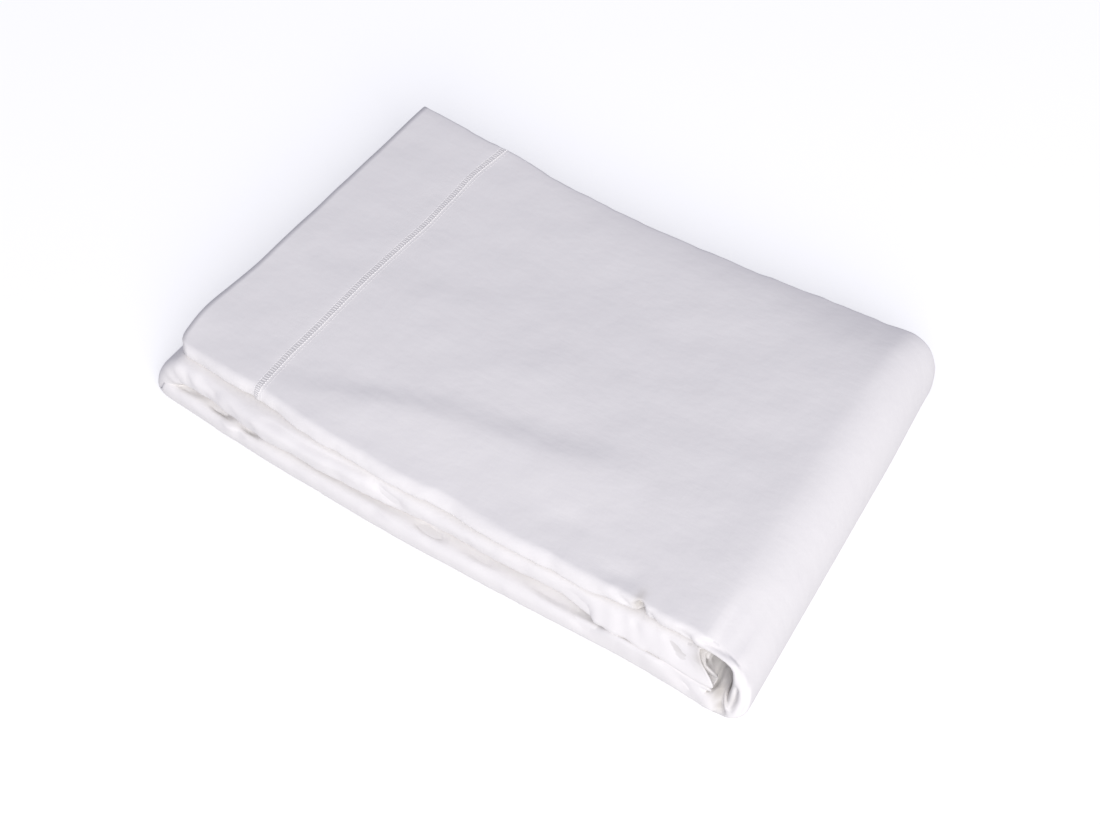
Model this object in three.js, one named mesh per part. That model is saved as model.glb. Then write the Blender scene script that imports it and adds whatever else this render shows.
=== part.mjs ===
// A white cotton flat sheet for a single bed, folded up for the shelf: one piece of cloth.
// Its width is folded in three and then in half, which makes a strip of six layers.
// The strip is then folded in three along its length: top run, bottom run, middle run.
// Millimetres, +Z up. The pack's long side runs along X, with the hemmed end at -X.
// The last fold of the width makes the round rolls of the near side, at -Y.

import * as THREE from "three";

// The pack's own sizes. Outer faces of the runs are level, at these heights.
const PACK_HEIGHT = 57;
const MIDDLE_RUN_TOP = 44;
const HEM_EDGE_X = -218;
const RIGHT_FOLD_X = 204;
const LEFT_FOLD_X = -219;
const TUCKED_END_X = 203;

// The strip's six layers, as shares of its half thickness: pitch, and the cloth in each pitch.
const LAYER_COUNT = 6;
const CLOTH_SHARE = 0.75;
const LAYER_PITCH = 2 / (LAYER_COUNT - 1 + CLOTH_SHARE);
const HALF_CLOTH = (LAYER_PITCH * CLOTH_SHARE) / 2;

// How far the two edges of the width, the selvedges, stay back from the folds beside them.
const SELVEDGE_SETBACK = 7;
const SELVEDGE_SETBACK_LOWER = 3;

// Facets across each layer.
const STEPS_ACROSS = 4;

// Two shares of the way along that differ by less than this are the same place.
const SAME_PLACE = 1e-9;

// The cloth's two faces in the mesh: the left and the right face on the way across the strip.
const LEFT = 0;
const RIGHT = 1;

// The strip's way through the pack, a row for each run or bend. A run goes straight from one
// place to the next, and a bend goes half round a centre. "edges" gives, at shares of the way
// along, the strip's thickness and the Y of its rolled near side and of its far side.
const WAY = [
  {
    kind: "run",
    from: { x: HEM_EDGE_X, z: PACK_HEIGHT },
    to: { x: RIGHT_FOLD_X, z: PACK_HEIGHT },
    outward: Math.PI / 2,
    steps: 10,
    edges: [
      { along: 0, thick: 11, near: -133, far: 149 },
      { along: 0.2, thick: 12, near: -136, far: 143 },
      { along: 0.4, thick: 12, near: -141, far: 139 },
      { along: 0.6, thick: 12, near: -137, far: 138 },
      { along: 0.8, thick: 12, near: -139, far: 141 },
      { along: 1, thick: 11, near: -138, far: 147 },
    ],
  },
  {
    kind: "bend",
    centre: { x: RIGHT_FOLD_X, z: PACK_HEIGHT / 2 },
    radius: PACK_HEIGHT / 2,
    outward: Math.PI / 2,
    steps: 10,
    edges: [
      { along: 0, thick: 11, near: -138, far: 147 },
      { along: 0.5, thick: 10, near: -142, far: 146 },
      { along: 0.8, thick: 12, near: -148, far: 145 },
      { along: 1, thick: 20, near: -151, far: 144 },
    ],
  },
  {
    kind: "run",
    from: { x: RIGHT_FOLD_X, z: 0 },
    to: { x: LEFT_FOLD_X, z: 0 },
    outward: -Math.PI / 2,
    steps: 10,
    edges: [
      { along: 0, thick: 20, near: -151, far: 144 },
      { along: 0.2, thick: 23, near: -153, far: 145 },
      { along: 0.4, thick: 24, near: -158, far: 142 },
      { along: 0.6, thick: 22, near: -161, far: 141 },
      { along: 0.8, thick: 20.5, near: -160, far: 144 },
      { along: 1, thick: 20, near: -154, far: 145 },
    ],
  },
  {
    kind: "bend",
    centre: { x: LEFT_FOLD_X, z: MIDDLE_RUN_TOP / 2 },
    radius: MIDDLE_RUN_TOP / 2,
    outward: -Math.PI / 2,
    steps: 8,
    edges: [
      { along: 0, thick: 20, near: -154, far: 145 },
      { along: 0.5, thick: 20.5, near: -150, far: 147 },
      { along: 1, thick: 21, near: -150, far: 144 },
    ],
  },
  {
    kind: "run",
    from: { x: LEFT_FOLD_X, z: MIDDLE_RUN_TOP },
    to: { x: TUCKED_END_X, z: MIDDLE_RUN_TOP },
    outward: Math.PI / 2,
    steps: 10,
    edges: [
      { along: 0, thick: 21, near: -150, far: 144 },
      { along: 0.2, thick: 21.5, near: -153, far: 140 },
      { along: 0.4, thick: 20, near: -150, far: 142 },
      { along: 0.6, thick: 18, near: -146, far: 138 },
      { along: 0.8, thick: 18, near: -144, far: 142 },
      { along: 1, thick: 20, near: -142, far: 141 },
    ],
  },
];

// Where the soft pack has sunk, as a share of the height that is lost there.
const HOLLOWS = [
  { x: -10, y: 95, reachX: 150, reachY: 90, share: 0.08 },
  { x: 40, y: -60, reachX: 170, reachY: 45, share: 0.05 },
  { x: -150, y: -90, reachX: 60, reachY: 40, share: 0.03 },
];

// The value of one named column at a share of the way along, eased between the rows.
function edgeAt(edges, along, column) {
  const next = edges.findIndex((row, i) => i > 0 && row.along >= along - SAME_PLACE);
  const a = edges[next - 1];
  const b = edges[next];
  const t = (along - a.along) / (b.along - a.along);
  const eased = t * t * (3 - 2 * t);
  return a[column] + (b[column] - a[column]) * eased;
}

// The stations of the strip's way: a point of its outer face, the outward direction there,
// the half thickness, and the two edges.
function wayStations() {
  const stations = [];
  for (const part of WAY) {
    const first = stations.length === 0 ? 0 : 1;
    for (let step = first; step <= part.steps; step++) {
      const along = step / part.steps;
      const turn = part.kind === "bend" ? part.outward - Math.PI * along : part.outward;
      const outward = { x: Math.cos(turn), z: Math.sin(turn) };
      const outer =
        part.kind === "bend"
          ? {
              x: part.centre.x + part.radius * outward.x,
              z: part.centre.z + part.radius * outward.z,
            }
          : {
              x: THREE.MathUtils.lerp(part.from.x, part.to.x, along),
              z: THREE.MathUtils.lerp(part.from.z, part.to.z, along),
            };
      stations.push({
        outer,
        outward,
        half: edgeAt(part.edges, along, "thick") / 2,
        near: edgeAt(part.edges, along, "near"),
        far: edgeAt(part.edges, along, "far"),
      });
    }
  }
  return stations;
}

// The height of layer 1 to 6 above the strip's middle, in half thicknesses.
function layerHeight(layer) {
  return (layer - (LAYER_COUNT + 1) / 2) * LAYER_PITCH;
}

// The cloth's way across the strip, from one selvedge to the other, a row for each layer or fold.
// A layer runs from one side to the other. A fold turns about a height, with a radius, in half
// thicknesses, from the first layer's height to the second's.
const ACROSS = [
  { kind: "layer", layer: 5, to: "near", setback: SELVEDGE_SETBACK },
  { kind: "fold", side: "near", from: 5, to: 2, steps: 6 },
  { kind: "layer", layer: 2, to: "far", setback: 0 },
  { kind: "fold", side: "far", from: 2, to: 1, steps: 4 },
  { kind: "layer", layer: 1, to: "near", setback: 0 },
  { kind: "fold", side: "near", from: 1, to: 6, steps: 8 },
  { kind: "layer", layer: 6, to: "far", setback: 0 },
  { kind: "fold", side: "far", from: 6, to: 4, steps: 6 },
  { kind: "layer", layer: 4, to: "near", setback: 0 },
  { kind: "fold", side: "near", from: 4, to: 3, steps: 4 },
  { kind: "layer", layer: 3, to: "far", setback: SELVEDGE_SETBACK_LOWER },
];

// The stations of the cloth across the strip. Each has a share of the way from the near folds'
// centre (0) to the far folds' centre (1), a way out past that centre and a height in half
// thicknesses, and the direction of the cloth's left face.
function acrossStations() {
  const stations = [];
  for (const row of ACROSS) {
    if (row.kind === "layer") {
      const sign = row.to === "far" ? 1 : -1;
      for (let step = 0; step <= STEPS_ACROSS; step++) {
        const share = step / STEPS_ACROSS;
        stations.push({
          share: row.to === "far" ? share : 1 - share,
          setback: row.setback,
          out: 0,
          height: layerHeight(row.layer),
          face: { out: 0, height: sign },
        });
      }
    } else {
      const sign = row.side === "far" ? 1 : -1;
      const centre = (layerHeight(row.from) + layerHeight(row.to)) / 2;
      const radius = Math.abs(layerHeight(row.from) - layerHeight(row.to)) / 2;
      const down = Math.sign(row.from - row.to);
      for (let step = 1; step < row.steps; step++) {
        const turn = (Math.PI * step) / row.steps;
        const radial = { out: sign * Math.sin(turn), height: down * Math.cos(turn) };
        stations.push({
          share: row.side === "far" ? 1 : 0,
          setback: 0,
          out: radius * radial.out,
          height: centre + radius * radial.height,
          face: { out: sign * down * radial.out, height: sign * down * radial.height },
        });
      }
    }
  }
  return stations;
}

// Lowers a point by the hollows, in proportion to its height, so that the underside stays flat.
function settle(point) {
  let share = 1;
  for (const hollow of HOLLOWS) {
    const dx = (point.x - hollow.x) / hollow.reachX;
    const dy = (point.y - hollow.y) / hollow.reachY;
    share -= hollow.share * Math.exp(-(dx * dx + dy * dy));
  }
  return new THREE.Vector3(point.x, point.y, point.z * share);
}

// A point on one face of the cloth, where a station of the way meets a station across.
function clothPoint(way, across, face) {
  const offset = face === LEFT ? HALF_CLOTH : -HALF_CLOTH;
  const out = across.out + offset * across.face.out;
  const height = across.height + offset * across.face.height;
  const nearCentre = way.near + way.half;
  const farFold = way.half * (LAYER_PITCH + HALF_CLOTH);
  const farCentre = way.far - farFold - across.setback * across.share;
  const y = THREE.MathUtils.lerp(nearCentre, farCentre, across.share) + out * way.half;
  const depth = (1 - height) * way.half;
  const x = way.outer.x - depth * way.outward.x;
  const z = way.outer.z - depth * way.outward.z;
  return settle(new THREE.Vector3(x, y, z));
}

// The cloth as a closed solid: two faces on the same grid of stations, and a rim all round.
function clothGeometry() {
  const ways = wayStations();
  const acrosses = acrossStations();
  const columns = acrosses.length;
  const lastWay = ways.length - 1;
  const lastColumn = columns - 1;
  const positions = [];
  for (const face of [LEFT, RIGHT]) {
    for (const way of ways) {
      for (const across of acrosses) {
        positions.push(...clothPoint(way, across, face).toArray());
      }
    }
  }
  const indices = [];
  const at = (face, i, j) => (face * ways.length + i) * columns + j;
  const quad = (a, b, c, d) => indices.push(a, b, c, a, c, d);
  for (let i = 0; i < lastWay; i++) {
    for (let j = 0; j < lastColumn; j++) {
      quad(at(LEFT, i, j), at(LEFT, i + 1, j), at(LEFT, i + 1, j + 1), at(LEFT, i, j + 1));
      quad(at(RIGHT, i, j), at(RIGHT, i, j + 1), at(RIGHT, i + 1, j + 1), at(RIGHT, i + 1, j));
    }
    quad(at(LEFT, i, 0), at(RIGHT, i, 0), at(RIGHT, i + 1, 0), at(LEFT, i + 1, 0));
    quad(
      at(LEFT, i, lastColumn),
      at(LEFT, i + 1, lastColumn),
      at(RIGHT, i + 1, lastColumn),
      at(RIGHT, i, lastColumn),
    );
  }
  for (let j = 0; j < lastColumn; j++) {
    quad(at(LEFT, 0, j), at(LEFT, 0, j + 1), at(RIGHT, 0, j + 1), at(RIGHT, 0, j));
    quad(
      at(LEFT, lastWay, j),
      at(RIGHT, lastWay, j),
      at(RIGHT, lastWay, j + 1),
      at(LEFT, lastWay, j + 1),
    );
  }
  const geometry = new THREE.BufferGeometry();
  geometry.setAttribute("position", new THREE.Float32BufferAttribute(positions, 3));
  geometry.setIndex(indices);
  geometry.computeVertexNormals();
  return geometry;
}

const whiteCotton = new THREE.MeshStandardMaterial({
  color: 0xeeedf2,
  roughness: 0.92,
  metalness: 0,
});

const sheet = new THREE.Mesh(clothGeometry(), whiteCotton);
sheet.name = "sheet";

const pack = new THREE.Group();
pack.add(sheet);

export default pack;
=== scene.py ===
import math
import bpy
import numpy as np
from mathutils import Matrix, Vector


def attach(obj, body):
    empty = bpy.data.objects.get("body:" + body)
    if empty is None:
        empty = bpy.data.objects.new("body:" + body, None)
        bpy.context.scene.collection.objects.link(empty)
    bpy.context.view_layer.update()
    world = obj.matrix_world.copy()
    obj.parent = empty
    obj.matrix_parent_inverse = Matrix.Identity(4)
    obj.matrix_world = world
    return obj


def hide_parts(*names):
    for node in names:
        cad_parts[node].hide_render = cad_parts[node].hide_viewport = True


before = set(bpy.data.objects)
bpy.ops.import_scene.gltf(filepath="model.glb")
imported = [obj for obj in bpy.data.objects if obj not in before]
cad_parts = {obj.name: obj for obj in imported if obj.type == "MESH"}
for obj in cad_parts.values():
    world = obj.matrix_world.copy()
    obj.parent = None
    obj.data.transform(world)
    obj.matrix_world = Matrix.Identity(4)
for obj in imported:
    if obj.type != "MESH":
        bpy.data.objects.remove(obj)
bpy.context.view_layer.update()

# The camera stands a metre off at the near right of the pack and looks down on it, with a
# normal lens. Its place was worked out from the pack's straight edges, in metres.
CAMERA_AIM = Vector((0.0032, -0.0112, 0.0))
CAMERA_DISTANCE = 1.0586
CAMERA_AZIMUTH = math.radians(33.4)
CAMERA_ELEVATION = math.radians(52.6)
CAMERA_LENS = 49.1

camera_back = Vector((
    math.sin(CAMERA_AZIMUTH) * math.cos(CAMERA_ELEVATION),
    -math.cos(CAMERA_AZIMUTH) * math.cos(CAMERA_ELEVATION),
    math.sin(CAMERA_ELEVATION),
))
camera_data = bpy.data.cameras.new("camera")
camera_data.lens = CAMERA_LENS
camera = bpy.data.objects.new("camera", camera_data)
camera.location = CAMERA_AIM + camera_back * CAMERA_DISTANCE
camera.rotation_euler = (-camera_back).to_track_quat("-Z", "Y").to_euler()
bpy.context.scene.collection.objects.link(camera)
bpy.context.scene.camera = camera

# The way of the strip. The sheet is doubled hem to hem, folded in three and then in half across
# its width, and the strip of twelve plies is folded in three: top, bottom and middle run. Sizes
# are in millimetres, with X along the pack's long side, from its hem to its big end fold.
CLOTH = 0.5
PACK_TOP = 57
MIDDLE_TOP = 44
HEM_EDGE_X = -218
TOP_END_X = 187
BOTTOM_START_X = 204
BOTTOM_END_X = -226
MIDDLE_START_X = -216
TUCKED_END_X = 197

# The edges give the strip's thickness, the Y of its near roll and of its far side, and how full the
# roll is, at places along X in a run and at shares of a bend. The steps and back_steps are rows of
# the outer and of the inner ply, which crowds bring closer together round their centres. The gap
# is the room under the outermost ply. A bend's belly is the height of its outermost place, and
# above and below say how square it is over and under that place.
WAY = (
    dict(
        name="top", start=(HEM_EDGE_X, PACK_TOP), end=(TOP_END_X, PACK_TOP),
        steps=118, back_steps=12, crowds=((0.18, 0.012, 4), (0.915, 0.05, 1.3)), gap=2.4,
        edges=(
            (-218, 11, -137, 150.5, 2.1), (-184, 11, -139, 148, 2.1), (-146, 11.5, -139, 145, 2.2),
            (-98, 12, -143, 142, 2.3), (-60, 12, -143, 140.5, 2.3), (-26, 12, -143, 140, 2.2),
            (5, 12, -140, 139.5, 2.2), (45, 12, -141, 141, 2.2), (95, 12, -140, 146, 2.2),
            (130, 12, -139, 152, 2.2), (187, 11, -138, 155.5, 2.2),
        ),
    ),
    dict(
        name="right bend", start=(TOP_END_X, PACK_TOP), end=(BOTTOM_START_X, 0), outermost=228,
        belly=15, above=2.05, below=2.6, steps=30, back_steps=10, crowds=(), gap=1.4,
        edges=(
            (0.0, 11, -138, 155.5, 2.2), (0.35, 11, -140, 153.5, 2.2), (0.6, 13, -146, 149, 2.2),
            (0.8, 17, -151.5, 145, 2.3), (1.0, 20, -152.5, 144, 2.5),
        ),
    ),
    dict(
        name="bottom", start=(BOTTOM_START_X, 0), end=(BOTTOM_END_X, 0),
        steps=104, back_steps=12, crowds=((0.03, 0.08, 0.8), (0.93, 0.1, 0.9)), gap=1.2,
        edges=(
            (204, 20, -152, 144, 2.5), (156, 22, -151, 145, 2.8), (113, 23, -153, 145, 2.8),
            (67, 23.5, -155, 143, 2.8), (21, 24, -156.5, 142, 2.8), (-27, 23.5, -158, 141, 2.8),
            (-72, 22, -157.5, 141, 2.8), (-119, 21, -157, 143, 2.8), (-166, 20.5, -155.5, 145, 2.8),
            (-226, 20, -152.5, 145, 2.6),
        ),
    ),
    dict(
        name="left bend", start=(BOTTOM_END_X, 0), end=(MIDDLE_START_X, MIDDLE_TOP), outermost=-242,
        belly=9, above=1.45, below=2.2, steps=20, back_steps=8, crowds=(), gap=1.2,
        edges=((0.0, 20, -152.5, 145, 2.6), (0.5, 20.5, -149, 147, 2.4), (1.0, 21, -149, 144, 2.6)),
    ),
    dict(
        name="middle", start=(MIDDLE_START_X, MIDDLE_TOP), end=(TUCKED_END_X, MIDDLE_TOP),
        steps=118, back_steps=12, crowds=((0.06, 0.1, 0.6), (0.89, 0.06, 1.2)),
        gap=1.2,
        edges=(
            (-216, 21, -149, 144, 2.6), (-190, 21, -149, 142, 2.7), (-165, 21.5, -151, 141, 2.8),
            (-140, 21.5, -154, 140, 2.8), (-105, 21, -153, 141, 2.8), (-70, 20.5, -152, 142, 2.8),
            (-30, 20, -149, 142, 2.8), (15, 19, -147, 140, 2.8), (55, 18, -146.5, 138, 2.8),
            (100, 18, -144, 140, 2.8), (140, 18, -143, 142, 2.8), (197, 20, -142, 141, 2.6),
        ),
    ),
)
TURN_STEPS = 6


def crowded(start, end, steps, crowds):
    """Places from start to end. The room for each step is divided by one plus, for each crowd,
    extra * exp(-((place - centre) / reach)^2), so places stand closer round its centre."""
    fine = np.linspace(start, end, 4001)
    crowd = np.ones_like(fine)
    for centre, reach, extra in crowds:
        crowd += extra * np.exp(-((fine - centre) / reach) ** 2)
    total = np.concatenate([[0], np.cumsum((crowd[1:] + crowd[:-1]) / 2)])
    return np.interp(np.linspace(0, total[-1], steps + 1), total, fine)


def read_edges(part, along):
    """The table's columns at shares of the way along: a cubic through the rows, whose slope at
    each row is the mean slope on its two sides."""
    table = np.array(part["edges"], float)
    if "outermost" not in part:
        table[:, 0] = (table[:, 0] - part["start"][0]) / (part["end"][0] - part["start"][0])
    slope = np.gradient(table[:, 1:], table[:, 0], axis=0)
    k = np.clip(np.searchsorted(table[:, 0], along, side="right") - 1, 0, len(table) - 2)
    span = (table[k + 1, 0] - table[k, 0])[:, None]
    t = (along - table[k, 0])[:, None] / span
    low, high = table[k, 1:], table[k + 1, 1:]
    return (
        low * (2 * t**3 - 3 * t**2 + 1) + high * (3 * t**2 - 2 * t**3)
        + slope[k] * span * (t**3 - 2 * t**2 + t) + slope[k + 1] * span * (t**3 - t**2)
    )


def part_path(part, along):
    """X and z of the outer face in one part. A run is a straight line. A bend is two quarters of
    a rounded square, |x|^n + |z|^n = 1, that meet at its outermost place, the belly."""
    (x0, z0), (x1, z1) = part["start"], part["end"]
    if "outermost" not in part:
        return x0 + (x1 - x0) * along, z0 + (z1 - z0) * along
    turn = math.pi * along
    side = np.cos(turn) * (1 if z0 > z1 else -1)
    full = np.where(side > 0, part["above"], part["below"])
    height = np.where(side > 0, max(z0, z1) - part["belly"], part["belly"])
    flank = np.where(along < 0.5, x0, x1)
    x = flank + (part["outermost"] - flank) * np.sin(turn) ** (2 / full)
    z = part["belly"] + height * np.sign(side) * np.abs(side) ** (2 / full)
    return x, z


def stations(part, along, travelled):
    """Rows of the strip's way in one part: x and z of the outer face, half thickness, near Y, far
    Y, fullness, the gap under the outer ply, and the length travelled so far."""
    fine = np.linspace(0, 1, 801)
    x, z = part_path(part, fine)
    length = np.concatenate([[0], np.cumsum(np.hypot(np.diff(x), np.diff(z)))])
    even = np.interp(along * length[-1], length, fine)
    x, z = part_path(part, even)
    thick, near, far, full = read_edges(part, along).T
    travel = travelled + length[-1] * along
    return np.stack([x, z, thick / 2, near, far, full, 0 * along + part["gap"], travel]), length[-1]


def strip_way():
    """All rows: the outer ply's way from the hem to the tucked end, a half turn there, and the
    inner ply's way back. The last rows are the direction of travel and the angle of the turn."""
    there, back = [], []
    starts = {}
    travelled = 0
    for part in WAY:
        starts[part["name"]] = travelled
        fine = crowded(0, 1, part["steps"], part["crowds"])
        ahead, length = stations(part, fine[1:] if there else fine, travelled)
        there.append(ahead)
        coarse = np.linspace(1, 0, part["back_steps"] + 1)
        back.insert(0, stations(part, coarse[1:] if part is not WAY[-1] else coarse, travelled)[0])
        travelled += length
    there = np.concatenate(there, axis=1)
    back = np.concatenate(back, axis=1)
    travel_x, travel_z = (np.gradient(there[k], there[-1]) for k in (0, 1))
    size = np.hypot(travel_x, travel_z)
    there = np.concatenate([there, [travel_x / size, travel_z / size]])
    back = np.concatenate([back, [np.interp(back[-1], there[7], there[k]) for k in (8, 9)]])
    turn = np.repeat(there[:, -1:], TURN_STEPS - 1, axis=1)
    angle = np.concatenate([
        np.zeros(there.shape[1]), np.linspace(0, math.pi, TURN_STEPS + 1)[1:-1],
        np.full(back.shape[1], math.pi),
    ])
    names = ("x", "z", "half", "near", "far", "full", "gap", "travel", "travel_x", "travel_z")
    way = dict(zip(names, np.concatenate([there, turn, back], axis=1)))
    way["swing"] = angle
    return way, starts


# The sheet's twelve plies stand at heights 0 to 11 in the strip, from its inner to its outer
# face. Across the strip the cloth goes back and forth in six layers of two plies. A row below
# gives a layer or the fold between two, and the heights of its outer and of its inner ply.
LAST_PLY = 11
INNER_GAP = 1.0
SELVEDGE_GAP = 1.5
ACROSS = (
    dict(kind="layer", outer=(8, 8), inner=(9, 9), to="near", setback=7, steps=4, crowds=()),
    dict(kind="fold", outer=(8, 3), inner=(9, 2), side="near", steps=4),
    dict(kind="layer", outer=(3, 3), inner=(2, 2), to="far", setback=0, steps=3, crowds=()),
    dict(kind="fold", outer=(3, 0), inner=(2, 1), side="far", steps=5),
    dict(kind="layer", outer=(0, 0), inner=(1, 1), to="near", setback=0, steps=11,
         crowds=((0.0, 0.05, 9),)),
    dict(kind="fold", outer=(0, 11), inner=(1, 10), side="near", steps=21),
    dict(kind="layer", outer=(11, 11), inner=(10, 10), to="far", setback=0, steps=38,
         crowds=((0.0, 0.12, 1.5),)),
    dict(kind="fold", outer=(11, 6), inner=(10, 7), side="far", steps=7),
    dict(kind="layer", outer=(6, 6), inner=(7, 7), to="near", setback=0, steps=4, crowds=()),
    dict(kind="fold", outer=(6, 5), inner=(7, 4), side="near", steps=4),
    dict(kind="layer", outer=(5, 5), inner=(4, 4), to="far", setback=3, steps=4, crowds=()),
)


def ply_heights(half, gap):
    """Height above the strip's middle of each ply on each row: the outermost and the innermost
    touch the faces, each with its gap to the next ply, and the others share the rest evenly."""
    face = half - CLOTH / 2
    low = -face + INNER_GAP
    high = face - gap
    share = (np.arange(LAST_PLY + 1) - 1) / (LAST_PLY - 2)
    heights = low[:, None] + (high - low)[:, None] * share
    heights[:, 0] = -face
    heights[:, LAST_PLY] = face
    return heights


def power(value, full):
    """The value to the power 2 / full, its sign kept: a circle's sine becomes a fuller curve's."""
    return np.sign(value) * np.abs(value) ** (2 / full)


def far_reach(row, heights, far):
    """Y where the layers' straight parts end on the far side: short of the far side by the
    radius of the fold they turn into, or by the selvedge's setback."""
    if row["setback"]:
        return far - row["setback"] - SELVEDGE_GAP
    folds = {11: (11, 6), 6: (11, 6), 3: (3, 0), 0: (3, 0)}
    a, b = folds[row["outer"][0]]
    return far - np.abs(heights[:, a] - heights[:, b]) / 2 - CLOTH / 2


# Which fold or selvedge on the far side each outer ply ends in, counted from the one that shows.
FAR_EDGES = {11: 0, 6: 0, 3: 1, 0: 1, 8: 2, 5: 3}
NEXT_PHASE = 2.4
NEXT_SETBACK = 1.44
STRAY_SHOWN = 0.4
STRAY_HIDDEN = 1.1
LONG_STRAY = 71
SHORT_STRAY = 29


def wander(row, travel):
    """How far a far fold or a selvedge strays along the strip: two slow sines of the travel, with
    another phase for each. The hidden ones stray more, and each lies further in than the last."""
    edge = FAR_EDGES[row["outer"][0]]
    phase = NEXT_PHASE * (edge + 1)
    reach = STRAY_HIDDEN if edge else STRAY_SHOWN
    slow = np.sin(travel / LONG_STRAY + phase) + np.sin(travel / SHORT_STRAY + 2 * phase)
    return reach * slow - NEXT_SETBACK * edge


def section(ply, rows, heights):
    """Y and height of one ply across the strip, an array row for each station of the way. A layer
    runs level between the near and the far folds. A fold is half a full round about a point
    midway between its two heights."""
    half, near, far, full = (rows[name] for name in ("half", "near", "far", "full"))
    ys, hs = [], []
    for row in ACROSS:
        a, b = (heights[:, k][:, None] for k in row[ply])
        if row["kind"] == "layer":
            share = crowded(0, 1, row["steps"], row["crowds"])
            share = share if row["to"] == "far" else share[::-1]
            near_end = near + half
            far_end = far_reach(row, heights, far) + wander(row, rows["travel"])
            y = near_end[:, None] + (far_end - near_end)[:, None] * share
            h = a + 0 * share
        else:
            turn = (np.linspace(0, math.pi, row["steps"] + 1)[1:-1])[None, :]
            radius = (a - b) / 2
            fuller = full[:, None] if row["side"] == "near" else 2.0
            h = (a + b) / 2 + radius * power(np.cos(turn), fuller)
            bulge = np.abs(radius) * power(np.sin(turn), fuller)
            if row["side"] == "near":
                y = (near + half)[:, None] - bulge
            else:
                outer_a, outer_b = (heights[:, k] for k in row["outer"])
                centre = far - np.abs(outer_a - outer_b) / 2 - CLOTH / 2
                y = (centre + wander(row, rows["travel"]))[:, None] + bulge
        ys.append(y)
        hs.append(h)
    return np.concatenate(ys, axis=1), np.concatenate(hs, axis=1)


def column_marks():
    """The column where each layer or fold of the way across starts."""
    marks = [0]
    for row in ACROSS:
        marks.append(marks[-1] + row["steps"] + (1 if row["kind"] == "layer" else -1))
    return marks


rows, run_starts = strip_way()
heights = ply_heights(rows["half"], rows["gap"])
outer_y, outer_h = section("outer", rows, heights)
inner_y, inner_h = section("inner", rows, heights)
marks = column_marks()

# The first and the last row of the way across that show: the outer roll and the panel's far fold.
ROLL = 5
FAR_FOLD = 7

# Each ply pair is joined at the tucked end by a half turn about the point midway between them.
swing = np.cos(rows["swing"])[:, None]
middle_y, middle_h = (outer_y + inner_y) / 2, (outer_h + inner_h) / 2
apart_y, apart_h = (outer_y - inner_y) / 2, (outer_h - inner_h) / 2
past = np.sin(rows["swing"])[:, None] * np.hypot(apart_y, apart_h)
strip_y = middle_y + swing * apart_y
depth = rows["half"][:, None] - (middle_h + swing * apart_h)
travel_x, travel_z = rows["travel_x"][:, None], rows["travel_z"][:, None]
place = np.stack([
    rows["x"][:, None] + depth * travel_z + past * travel_x,
    strip_y,
    rows["z"][:, None] - depth * travel_x + past * travel_z,
], axis=-1)


# The soft pack has sunk in some places, in proportion to the height, so the underside stays flat.
# Each row gives X, Y, the reach along X and along Y, and the share of the height that is lost.
HOLLOWS = (
    (-10, 95, 150, 90, 0.06), (35, -150, 175, 52, 0.115), (-150, -90, 60, 40, 0.02),
    (165, 168, 62, 40, 0.18), (60, 172, 130, 38, 0.09),
)


def settle(point):
    """Lowers each point by a share of its height: the sum of the hollows' bell curves."""
    share = np.ones(point.shape[:-1])
    for x, y, reach_x, reach_y, lost in HOLLOWS:
        distance = np.hypot((point[..., 0] - x) / reach_x, (point[..., 1] - y) / reach_y)
        share -= lost * np.exp(-distance**2)
    return np.stack([point[..., 0], point[..., 1], point[..., 2] * share], axis=-1)


place = settle(place)

# Seen from above the ends aren't straight. The right bend reaches further out at the near side,
# and less far at the far one. The hem edge bows out, turns in at its near corner and sags there.
# A bow is a move along X, the Y of its middle and its reach.
RIGHT_LEAN = 0.0009
FAR_CORNER_IN = 1.6
FAR_CORNER_FROM = 60
FAR_CORNER_OVER = 85
HEM_LINE = 72.6
HEM_FADES_OVER = 90
HEM_OUT = 2
HEM_BOWS = ((-4, -100, 35),)
HEM_NEAR_END = -128
NEAR_CORNER_IN = 7
NEAR_CORNER_OVER = 14
NEAR_CORNER_SAG = 3
STITCH_LEAN = 7.3
STITCH_LENGTH = 270
STITCH_OUT = 0.3
STITCH_BOWS = ((1.4, 45, 25), (-2.4, 112, 25), (-1.5, -105, 25))


def ease(value):
    """A smooth step from 0 to 1 as the value goes from 0 to 1."""
    value = np.clip(value, 0, 1)
    return value * value * (3 - 2 * value)


def bell(value):
    """A soft bell of height 1: exp(-value^2)."""
    return np.exp(-value**2)


def bowed(y, bows):
    """The sum of the bows' bells along Y."""
    return sum(move * bell((y - middle) / reach) for move, middle, reach in bows)


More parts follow.
